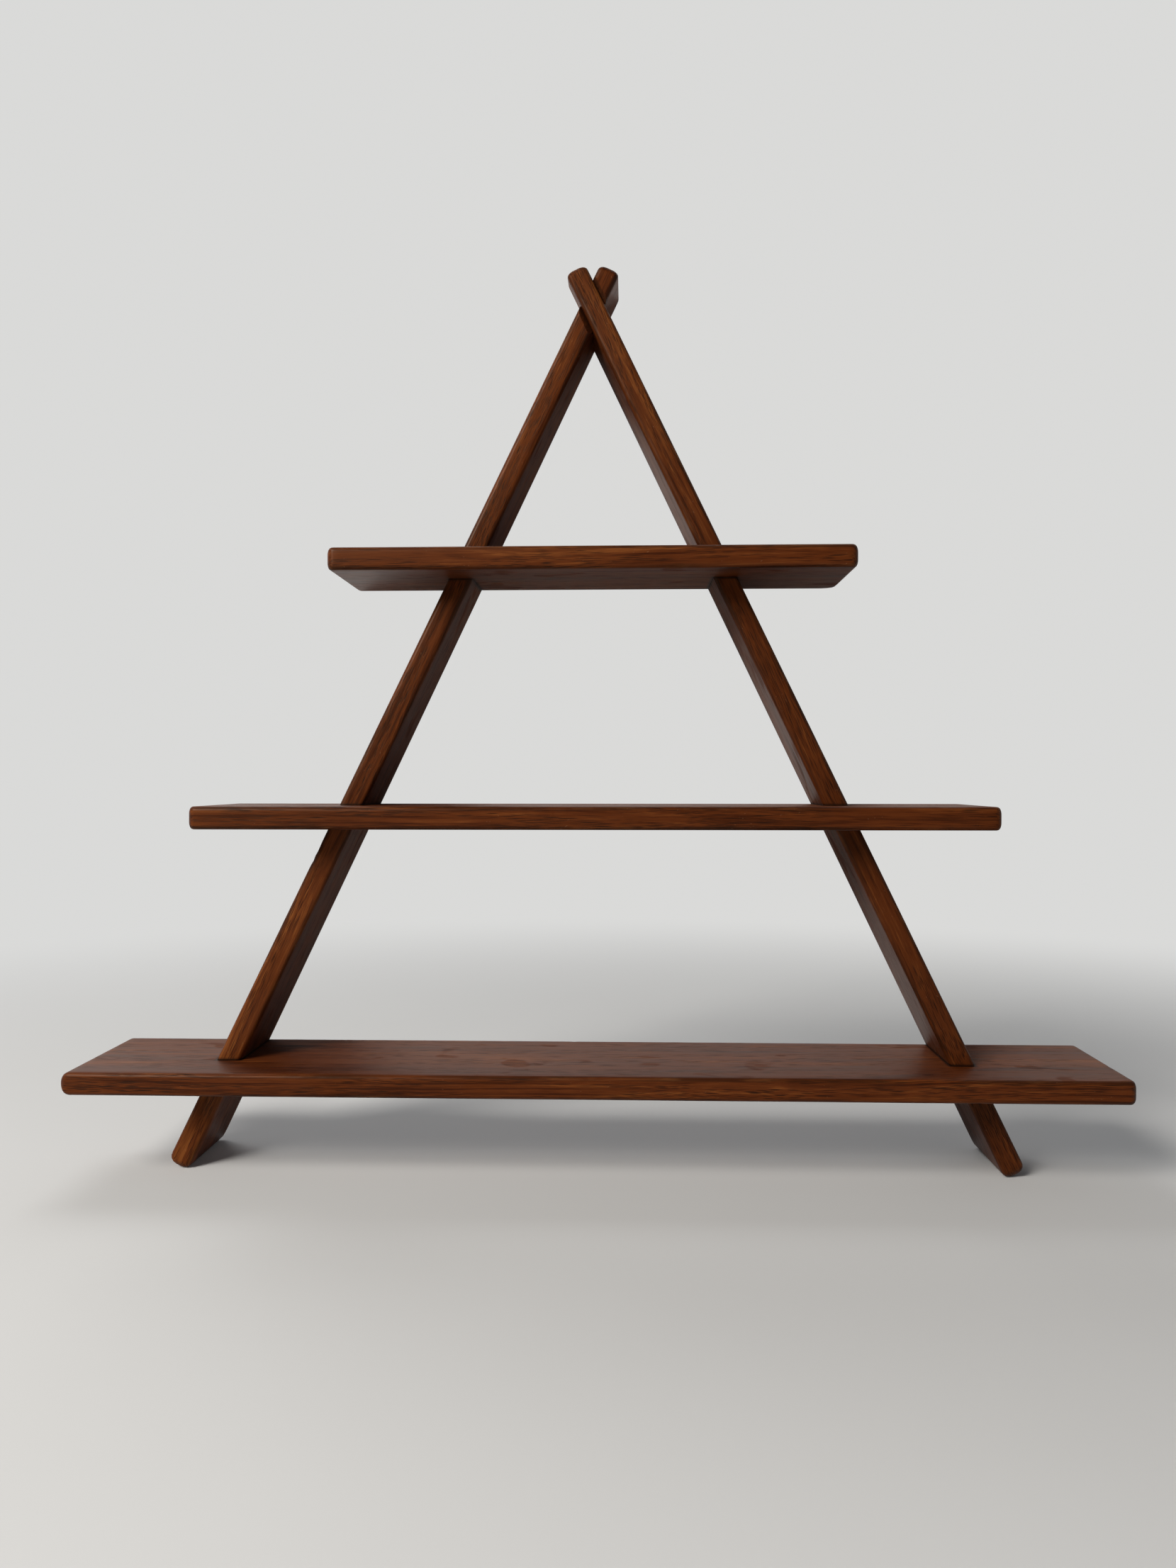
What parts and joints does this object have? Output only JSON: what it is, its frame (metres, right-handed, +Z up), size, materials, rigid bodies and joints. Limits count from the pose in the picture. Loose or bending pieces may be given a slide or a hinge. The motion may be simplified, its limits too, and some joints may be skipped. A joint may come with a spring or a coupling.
{
  "type": "ladder shelf",
  "caption": "A-frame shelf of thin oiled hardwood boards: two leaning uprights cross at the top and carry horizontal shelves that widen towards the floor and pull off forwards.",
  "frame": {"origin": "on the floor, halfway between the feet and halfway through the depth of the bottom shelf", "axes": "+X to the right, +Y back towards the wall, +Z up"},
  "size_m": [0.8, 0.1198, 0.7154],
  "materials": {
    "upright_wood": "oiled",
    "shelf_wood": "oiled",
    "plate_brass": "aged",
    "screw_brass": "aged"
  },
  "bodies": {
    "frame": {"left_upright": "upright_wood", "right_upright": "upright_wood"},
    "top_shelf": {"top_shelf": "shelf_wood", "left_hanger_plate": "plate_brass", "right_hanger_plate": "plate_brass", "hanger_screws": "screw_brass"},
    "middle_shelf": {"middle_shelf": "shelf_wood"},
    "bottom_shelf": {"bottom_shelf": "shelf_wood"}
  },
  "joints": [
    {"name": "top_shelf_slide", "type": "slide", "parent": "frame", "child": "top_shelf", "axis": [0, -1, 0], "range_m": [0, 0.064]},
    {"name": "middle_shelf_slide", "type": "slide", "parent": "frame", "child": "middle_shelf", "axis": [0, -1, 0], "range_m": [0, 0.072]},
    {"name": "bottom_shelf_slide", "type": "slide", "parent": "frame", "child": "bottom_shelf", "axis": [0, -1, 0], "range_m": [0, 0.08]}
  ]
}
